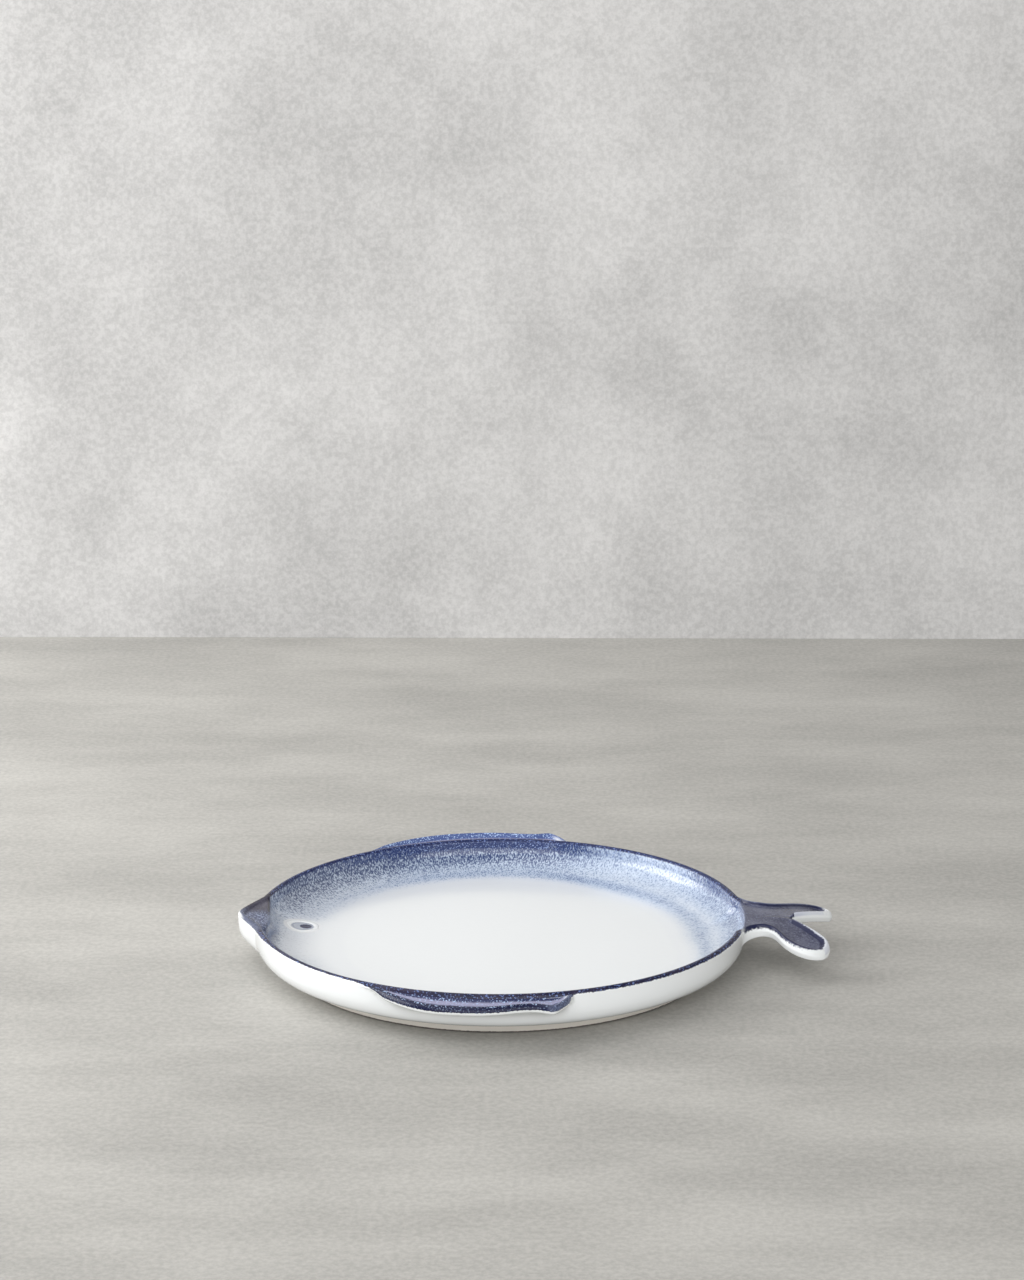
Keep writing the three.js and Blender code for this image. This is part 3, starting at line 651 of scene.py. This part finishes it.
eye_square = eye_along * eye_along + eye_over * eye_over
eye_far = eye_square.sum("SQRT", eye_square)
blue = spot.colour(160, 169, 186).over(blue, eye_far.ease(5.6, 4.4) * 0.75)
blue = spot.colour(112, 120, 142).over(blue, (eye_far + streaks * 0.2).hump(4.0, 0.5) * 0.6)
blue = spot.colour(232, 234, 236).over(blue, eye_far.hump(6.4, 2.2).ease(0.0, 0.6) * 0.85)
on_wall = lap.ease(0.4, -0.4)
skin = blue.over(white, on_wall * up_wall.ease(-0.1, 0.05))

# The dark line on the lip, the dark fins, and their light specks
dark = spot.colour(26, 28, 56).over(spot.colour(48, 44, 66), clouds.ease(-0.4, 0.5))
dark = spot.colour(28, 40, 84).over(dark, towards_back.ease(0.1, 0.5) * 0.8)
flecks = (spot.grain(1.4, 1.0) + fine * 0.2).ease(0.32, 0.62)
lip_dark = spot.colour(120, 140, 194).over(dark, flecks * 0.7)
over_crest = (lap + fine * 0.15 + towards_back.ease(-0.1, 0.3) * 1.1).ease(-0.95, -0.25)
on_lip = over_crest * (coat + fine * 0.22 + specks * 0.12).ease(-0.15, 0.2)
on_lip = on_lip * gap.ease(-0.9, -0.3) * (1 - x.ease(92.0, 94.0) * abs(y).ease(18.5, 15.0))
on_lip = on_lip * (1 - x.ease(95.2, 96.6) * y.ease(0.0, -5.0))
skin = lip_dark.over(skin, on_lip)
fringe = (lap + specks * 1.3 + fine * 0.7).ease(-3.0, -1.0) * lap.ease(1.0, 0.0) * near * mouthward.ease(0.84, 0.95)
beak_in = x + y * snout_slant
jaw = (beak_in - specks * 1.6 - fine * 1.2).ease(-87.0, -91.5) * lap.ease(1.0, 0.0) * y.ease(6.0, -3.0)
skin = spot.colour(78, 90, 122).over(skin, fringe.most(jaw) * (1 - on_lip) * 0.7)

fin_zone = lap.ease(2.2, 2.6) * abs(towards_tail).ease(0.75, 0.6)
# Light and dark stripes along the fins' top: painted shading of fine flutes.
flute_shade_phase = across * 44 + fine * 0.5
painted_flute_shade = flute_shade_phase.sum("SINE", flute_shade_phase) * abs(towards_tail).ease(0.05, 0.35)
# A pale lavender band in the fins' hollow: partly the glaze's own colour, partly a painted reflection of the sky.
pale_and_reflection_band = (across + streaks * 0.05).hump(0.3, 0.28).ease(0.1, 0.8) * coat.ease(2.6, 3.8) * (0.85 + painted_flute_shade * 0.15)
hollow = spot.colour(166, 166, 194).over(spot.colour(50, 54, 90), pale_and_reflection_band)
ridge = (coat.hump(3.2, 1.5) + across.hump(0.1, 0.16) * 0.9 + pale_and_reflection_band * 0.35).least(1.0)
fin_tone = spot.colour(20, 23, 54).over(hollow, coat.ease(4.6, 3.2) * (0.92 - painted_flute_shade * 0.15))
on_back = y.ease(0.0, 20.0)
fin_tone = spot.colour(84, 104, 160).over(fin_tone, on_back * across.ease(0.4, 0.7) * 0.75)
fin_tone = spot.colour(168, 164, 186).over(fin_tone, on_back * across.hump(0.58, 0.14) * 0.85)
ridge = ridge.most(on_back * across.ease(0.6, 0.75))
fin_tone = spot.colour(184, 208, 244).over(fin_tone, flecks * (0.2 + ridge * 0.8))
rear = towards_tail.ease(0.175, 0.215)
# A near-white line along the rear lobe's crease: a painted highlight on its raised border.
crease_highlight = gap.hump(2.4, 1.0) * rear
fin_tone = spot.colour(214, 218, 228).over(fin_tone, crease_highlight * 0.85)
fin_tone = spot.colour(122, 132, 162).over(fin_tone, gap.ease(1.9, 1.2) * rear * (0.45 + specks * 0.35))
fin_on = fin_zone * (coat + fine * 0.12).ease(-0.05, 0.18)
skin = fin_tone.over(skin, fin_on)

# The tail: a grey-violet panel, navy lines inside its border, and the glaze run thin to white at the lobes' ends
tail_zone = (x + abs(y) * 0.08 + fine * 0.4).ease(97.0, 99.2) * towards_tail.ease(0.9, 0.93)
cloudy = (fine * 0.5 + specks * 0.5 + clouds).ease(-0.7, 0.7)
panel = spot.colour(56, 59, 84).over(spot.colour(94, 97, 118), cloudy)
panel = spot.colour(140, 148, 176).over(panel, (specks - fine * 0.3).ease(0.5, 1.0) * 0.6)
fork_side, near_side = across.ease(0.5, 0.6), y.ease(0.5, -0.5)
near_flank, far_flank = near_side * (1 - fork_side), (1 - near_side) * (1 - fork_side)
lobe_end = x.ease(118.0, 126.0)
navy = spot.colour(30, 34, 66)
ragged = gap + fine * 0.2 + specks * 0.15
pale_wide = near_flank * (x.ease(106.0, 120.0) * 0.9 - 0.2) + fork_side * (1.5 + (1 - near_side) * 0.4)
pale_wide = pale_wide + near_side * lobe_end * 0.5
line = ragged.hump(pale_wide + 1.1, 1.2).ease(0.0, 0.6) * (1 - far_flank)
line = line.most(gap.hump(2.5, 0.8) * far_flank).most(gap.ease(1.6, 1.1) * far_flank)
tail_tone = navy.over(panel, line * 0.92)
# A lighter speckled line along the far flank's crest: partly speckled glaze, partly a painted highlight.
tail_tone = spot.colour(126, 138, 172).over(tail_tone, gap.hump(1.75, 0.4) * far_flank * (0.5 + specks * 0.3))
pale = spot.colour(196, 200, 216).over(white, fork_side * (0.9 - lobe_end * 0.4))
bare = (ragged - pale_wide).ease(0.3, -0.3) * (1 - far_flank)
tip = (x + fine - gap * 0.6).ease(128.5, 131.5) * (1 - near_side)
tail_tone = pale.over(tail_tone, bare)
bare = tip.most((coat + near_side * fine * 0.3 - near_flank * 1.5).ease(0.4, -0.3))
bare = bare.most(fork_side * coat.ease(1.6, 1.0)).least(1.0) * gap.ease(7.0, 5.0)
bare = bare.most(coat.ease(-0.4, -1.2))
tail_tone = white.over(tail_tone, bare)
skin = tail_tone.over(skin, tail_zone)

# The snout: the same panel behind a brown-black line, speckled to white on the belly's side
ragged_in = beak_in - (specks + fine * 0.5 - 0.8) * y.ease(3.0, -5.0)
snout_zone = mouthward.ease(0.968, 0.976) * ragged_in.ease(-91.8, -92.7) * lap.ease(4.0, 2.8)
snout_panel = spot.colour(62, 60, 76).over(spot.colour(88, 86, 102), (fine * 0.6 + clouds).ease(-0.6, 0.6))
back_line = gap.ease(2.4, 1.5) * y.ease(-3.0, 1.0) + (beak_in + fine * 0.2).hump(-92.9, 0.8) * y.ease(-6.0, 5.0)
back_line = (back_line + gap.hump(2.8, 0.8) * y.ease(2.0, -1.0) * x.ease(-95.0, -99.0) * 0.8).least(1.0)
snout_tone = spot.colour(40, 34, 48).over(snout_panel, back_line * 0.9)
frost = spot.colour(66, 78, 112).over(snout_tone, y.ease(7.0, -3.0) * 0.6)
frost = spot.colour(146, 158, 186).over(frost, (specks + fine * 0.6).ease(0.0, 0.6) * y.ease(7.0, -3.0) * 0.8)
frost = spot.colour(78, 84, 106).over(frost, gap.ease(2.4, 1.6) * y.ease(2.0, -2.0) * (0.6 + specks * 0.4))
snout_edge_on = (gap + fine * 0.25).ease(1.2, 0.4) * (x + y * 0.15).ease(-103.0, -105.0)
snout_tone = white.over(frost, snout_edge_on.most((coat + fine * 0.2).ease(0.3, -0.3)))
skin = snout_tone.over(skin, snout_zone)

# The gloss: a clear coat, thin on the lip, the brow, the fins, the snout and the tail, and a faint orange peel
shader.inputs["Base Color"].default_value = (*shade(*white_tone), 1)
skin.into(shader, "Base Color")
wear = spot.grain(0.03, 2.0)
(0.13 + broken * on_wall * 0.06 + on_lip * 0.12 + wear * 0.012).into(shader, "Roughness")
peel = spot.grain(0.45, 2.0) * 0.006 + fine * on_wall * up_wall.ease(0.0, 0.2) * 0.002
peel.node("ShaderNodeBump", {}, {"Strength": 1.0, "Distance": 0.001, "Height": peel}).into(shader, "Normal")
shader.inputs["IOR"].default_value = 1.3
shader.inputs["Coat Roughness"].default_value = 0.2
shader.inputs["Coat IOR"].default_value = 1.55
dull = on_lip.most(brow * on_wall * (1 - aft) * 0.9).most(fin_on).most(snout_zone)
dull = dull.most(tail_zone * gap.ease(-0.5, 0.0))
(1 - dull * 0.9).into(shader, "Coat Weight")
plate.data.materials.append(glaze)
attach(plate, "root")
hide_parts("clay_dish", "snout", "dorsal_fin", "belly_fin", "tail", "outer_white_glaze", "well_white_glaze",
            "wall_blue_glaze", "rim_glaze_dorsal", "rim_glaze_belly", "snout_glaze", "dorsal_fin_glaze",
            "belly_fin_glaze", "tail_glaze")

# Eye's ring: a low white roll of glaze, trailed on the inner wall behind the mouth and fired on.
# It follows the wall, so it is turned flat and then laid over the bowl.
eye_radius, eye_band, eye_rise, eye_sink = 6.75, 2.3, 0.42, 0.12


def stand_up(shape):
    bmesh.ops.rotate(shape, matrix=Matrix.Rotation(math.pi / 2, 3, "X"), verts=shape.verts)


def lay_on_wall(shape, sink):
    """Sets a flat shape, in millimetres about the eye's middle, on the inner wall."""
    for corner in shape.verts:
        flat = corner.co.copy()
        out = math.hypot(eye_x + flat.x, eye_y + flat.y)
        corner.co = (eye_x + flat.x, eye_y + flat.y, bowl_height(out) + flat.z - sink)


roll = bmesh.new()
bmesh.ops.create_circle(roll, segments=14, radius=1.0)
bmesh.ops.scale(roll, vec=(eye_band / 2, eye_rise, 1), verts=roll.verts)
stand_up(roll)
bmesh.ops.translate(roll, vec=(eye_radius - eye_band / 2, 0, 0), verts=roll.verts)
turn_round(roll, 72)
lay_on_wall(roll, eye_sink)
ring_glaze, shader, place = new_glaze("trailed_white")
grey = place.grain(700, 2.0).ease(-0.6, 0.8)
ring_tone = place.colour(240, 241, 241).over(place.colour(230, 233, 236), grey)
ring_tone.into(shader, "Base Color")
(0.14 + grey * 0.05).into(shader, "Roughness")
ring = fired_piece("eye_white_roll", roll)
ring.data.materials.append(ring_glaze)
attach(ring, "root")
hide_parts("eye_ring")

# Eye's pupil: one drop of navy glaze inside the ring, a little nearer the tail.
# It domed as it set, and was fired on with the rest.
pupil_x, pupil_radius, pupil_rise, pupil_sink = 1.2, 2.9, 0.28, 0.1
drop = bmesh.new()
bmesh.ops.create_circle(drop, segments=16, radius=1.0)
bmesh.ops.scale(drop, vec=(pupil_radius, pupil_rise, 1), verts=drop.verts)
stand_up(drop)
bmesh.ops.delete(drop, geom=[v for v in drop.verts if v.co.x < -1e-4], context="VERTS")
turn_round(drop, 48)
bmesh.ops.remove_doubles(drop, verts=drop.verts, dist=1e-3)
bmesh.ops.translate(drop, vec=(pupil_x, 0, 0), verts=drop.verts)
lay_on_wall(drop, pupil_sink)
pupil_glaze, shader, place = new_glaze("navy_drop")
mottle = place.grain(900, 2.0).ease(-0.5, 0.9)
pupil_tone = place.colour(70, 74, 108).over(place.colour(34, 34, 60), mottle)
pupil_tone.into(shader, "Base Color")
(0.14 + mottle * 0.05).into(shader, "Roughness")
pupil = fired_piece("eye_navy_drop", drop)
pupil.data.materials.append(pupil_glaze)
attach(pupil, "root")
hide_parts("eye_pupil")

# Foot: a low turned ring of stoneware luted under the base. Its sides are glazed white and the standing face is
# wiped bare, so that it doesn't stick to the kiln shelf.
foot_out, foot_in, foot_top, foot_round = 84.9, 78.9, 5.0, 0.9
turned = bmesh.new()
bmesh.ops.create_grid(turned, x_segments=1, y_segments=1, size=0.5)
bmesh.ops.scale(turned, vec=(foot_out - foot_in, foot_top, 1), verts=turned.verts)
bmesh.ops.bevel(turned, geom=turned.verts[:], offset=foot_round, segments=4, profile=0.5, affect="VERTICES",
                material=-1)
bmesh.ops.delete(turned, geom=turned.faces[:], context="FACES_ONLY")
stand_up(turned)
bmesh.ops.translate(turned, vec=((foot_out + foot_in) / 2, 0, foot_top / 2), verts=turned.verts)
turn_round(turned, 192)
foot_glaze, shader, place = new_glaze("wiped_foot_and_contact_shade")
height = place.node("ShaderNodeSeparateXYZ", {}, {"Vector": place}, 2) * 1000
sand = place.grain(1100, 3.0)
glazed = (height + sand * 0.10).ease(0.45, 0.75)
# Bare clay along the bottom edge, made dark so that it also stands for the contact shadow under the foot: partly
# painted shadow.
bare_clay_and_contact_shade = place.colour(104, 94, 88).over(place.colour(72, 65, 66), sand.ease(-0.6, 0.6))
# The foot's glaze is warmer and dimmer than the body's white: painted shade and bounce from the floor.
foot_tone = place.colour(220, 215, 206).over(bare_clay_and_contact_shade, glazed)
foot_tone.into(shader, "Base Color")
(0.75 - glazed * 0.61).into(shader, "Roughness")
foot = fired_piece("turned_foot", turned)
foot.data.materials.append(foot_glaze)
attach(foot, "root")
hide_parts("foot_ring")

# Floor and wall of the stage: pale grey stone slabs, one lying and one standing behind it.
# The wall is left open from behind, so that the plate can be looked at from there.
wall_y, slab_half, slab_middle = 0.518, 3, 2.9
palest, dimmest = 1.28, 0.76


def slab(name, standing, at, tone, patch):
    """A square of cloudy stone with its middle at a place, its patches stretched by three factors."""
    made = bpy.data.meshes.new(name)
    sheet = bmesh.new()
    bmesh.ops.create_grid(sheet, x_segments=1, y_segments=1, size=slab_half)
    if standing:
        stand_up(sheet)
    bmesh.ops.translate(sheet, vec=at, verts=sheet.verts)
    sheet.to_mesh(made)
    sheet.free()
    stone = bpy.data.objects.new(name, made)
    bpy.context.scene.collection.objects.link(stone)
    material, shader, place = new_glaze(name)
    drift = place.node("ShaderNodeVectorMath", {"operation": "MULTIPLY"}, {0: place, 1: patch})
    cloudy = drift.grain(9, 6.0, 0.65).ease(-1.0, 1.0)
    sandy = place.grain(420, 2.0, 0.7).ease(-0.9, 0.9)
    face = place.colour(*tone, palest).over(place.colour(*tone, dimmest), cloudy * 0.6 + sandy * 0.4)
    face.into(shader, "Base Color")
    (0.6 + cloudy * 0.1).into(shader, "Roughness")
    made.materials.append(material)
    return material, shader


slab("stone_floor", False, (0, wall_y - slab_middle, 0), (174, 172, 167), (0.7, 1.6, 1))
wall_stone, shader = slab("stone_wall", True, (0, wall_y, slab_middle), (189, 188, 187), (1, 1, 1))
tree = wall_stone.node_tree
behind = Wire(tree, tree.nodes.new("ShaderNodeNewGeometry").outputs["Backfacing"])
clear = behind.node("ShaderNodeBsdfTransparent", {}, {})
shown = behind.node("ShaderNodeMixShader", {}, {0: behind, 1: Wire(tree, shader.outputs[0]), 2: clear})
tree.links.new(shown.socket, tree.nodes["Material Output"].inputs["Surface"])

# Light: a window-like softbox low on the mouth's side, which gives the sheen across the wall, a larger one above it,
# and a wide one in front of the plate. An even white sky fills the shadows.


def softbox(name, at, wide, tall, watts):
    """A lamp that faces the middle of the plate."""
    made = bpy.data.lights.new(name, "AREA")
    made.shape, made.size, made.size_y, made.energy = "RECTANGLE", wide, tall, watts
    lamp = bpy.data.objects.new(name, made)
    bpy.context.scene.collection.objects.link(lamp)
    lamp.location = at
    lamp.rotation_euler = (-lamp.location).to_track_quat("-Z", "Y").to_euler()


softbox("window", (-0.9, 0.10, 0.34), 0.8, 0.7, 7.3)
softbox("skylight", (-0.6, 0.12, 0.9), 1.4, 1.4, 7.5)
softbox("fill", (0.15, -1.6, 0.7), 2.4, 1.6, 26)
world = bpy.data.worlds.new("sky")
world.use_nodes = True
sky = world.node_tree.nodes["Background"]
sky.inputs["Color"].default_value, sky.inputs["Strength"].default_value = (1, 1, 1, 1), 0.3
bpy.context.scene.world = world

# Camera: a long lens in front of the belly, looking down on the plate. It is turned until the middle of the rim is
# seen at its pixel of the photograph, and the focal length is in the photograph's pixels too.
elevation, azimuth, tilt = math.radians(18.6), math.radians(1.5), math.radians(-0.25)
distance, aim_height, focal, sensor = 1.5, 0.02, 3735, 36
picture_wide, picture_tall = 1024, 1280
seen_x, seen_y = 498.9, 911.4
level = math.cos(elevation)
back_ray = Vector((math.sin(azimuth) * level, -math.cos(azimuth) * level, math.sin(elevation)))
right = Vector((math.cos(azimuth), math.sin(azimuth), 0))
up = back_ray.cross(right)
pitch = math.atan((seen_y - picture_tall / 2) / focal)
yaw = math.atan((seen_x - picture_wide / 2) / focal)
ahead = -back_ray * math.cos(pitch) + up * math.sin(pitch)
pitched_up = up * math.cos(pitch) + back_ray * math.sin(pitch)
axis = ahead * math.cos(yaw) - right * math.sin(yaw)
turned_right = right * math.cos(yaw) + ahead * math.sin(yaw)
camera_right = turned_right * math.cos(tilt) + pitched_up * math.sin(tilt)
camera_up = pitched_up * math.cos(tilt) - turned_right * math.sin(tilt)
camera_data = bpy.data.cameras.new("camera")
camera_data.lens = focal / picture_tall * sensor
camera_data.sensor_width = sensor
camera = bpy.data.objects.new("camera", camera_data)
bpy.context.scene.collection.objects.link(camera)
stands_at = Vector((dish_x, 0, aim_height)) + back_ray * distance
faces = Matrix((camera_right, camera_up, -axis)).transposed()
camera.matrix_world = Matrix.Translation(stands_at) @ faces.to_4x4()
bpy.context.scene.camera = camera
bpy.context.scene.view_settings.view_transform = "Standard"
